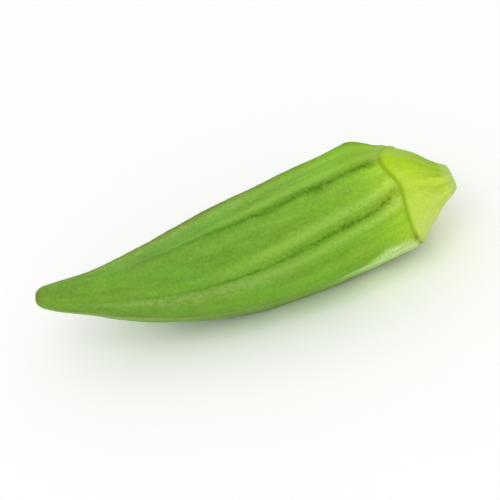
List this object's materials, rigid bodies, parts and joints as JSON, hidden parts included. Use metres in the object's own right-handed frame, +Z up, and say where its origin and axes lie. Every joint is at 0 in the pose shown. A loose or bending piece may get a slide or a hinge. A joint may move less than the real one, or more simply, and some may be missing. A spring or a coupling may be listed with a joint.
{
  "type": "okra pod",
  "caption": "Whole green okra pod: a ribbed, tapering seed pod with a curved blunt point, a pale cap and a short cut stalk.",
  "frame": {"origin": "on the surface that the pod lies on, under the middle of its bounding box", "axes": "+X along the pod towards its cut stalk, +Z up away from the surface, +Y towards the side that the point curves to"},
  "size_m": [0.0746, 0.0214, 0.0219],
  "materials": {
    "okra_skin": "satin green skin with fine short hairs, lime cap"
  },
  "bodies": {
    "root": {"okra_pod": "okra_skin"}
  },
  "joints": []
}
